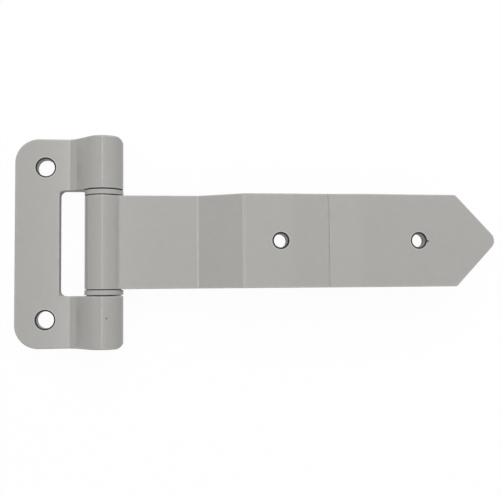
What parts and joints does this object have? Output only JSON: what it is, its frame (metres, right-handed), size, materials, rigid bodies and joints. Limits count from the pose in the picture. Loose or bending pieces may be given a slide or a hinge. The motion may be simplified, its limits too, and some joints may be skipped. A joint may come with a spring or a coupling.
{
  "type": "strap hinge",
  "caption": "Cranked strap hinge: a windowed frame leaf and a long pointed strap that swings on a pin and flanged bushes, for a door that stands proud of its frame.",
  "frame": {"origin": "midway between the frame leaf's bolt holes, on the back of the frame leaf", "axes": "+X along the strap towards its point, +Y along the pin, +Z out of the mounting face"},
  "size_m": [0.2528, 0.11, 0.028],
  "materials": {
    "leaf": "satin light grey coating",
    "pin": "bright drawn steel",
    "bush": "moulded grey"
  },
  "bodies": {
    "frame": {"frame_leaf": "leaf", "hinge_pin": "pin"},
    "strap": {"strap_leaf": "leaf", "upper_bush": "bush", "lower_bush": "bush"}
  },
  "joints": [
    {"name": "strap_swing", "type": "hinge", "parent": "frame", "child": "strap", "pos_m": [0.0305, 0, 0.01], "axis": [0, -1, 0], "range_deg": [0, 170]}
  ]
}
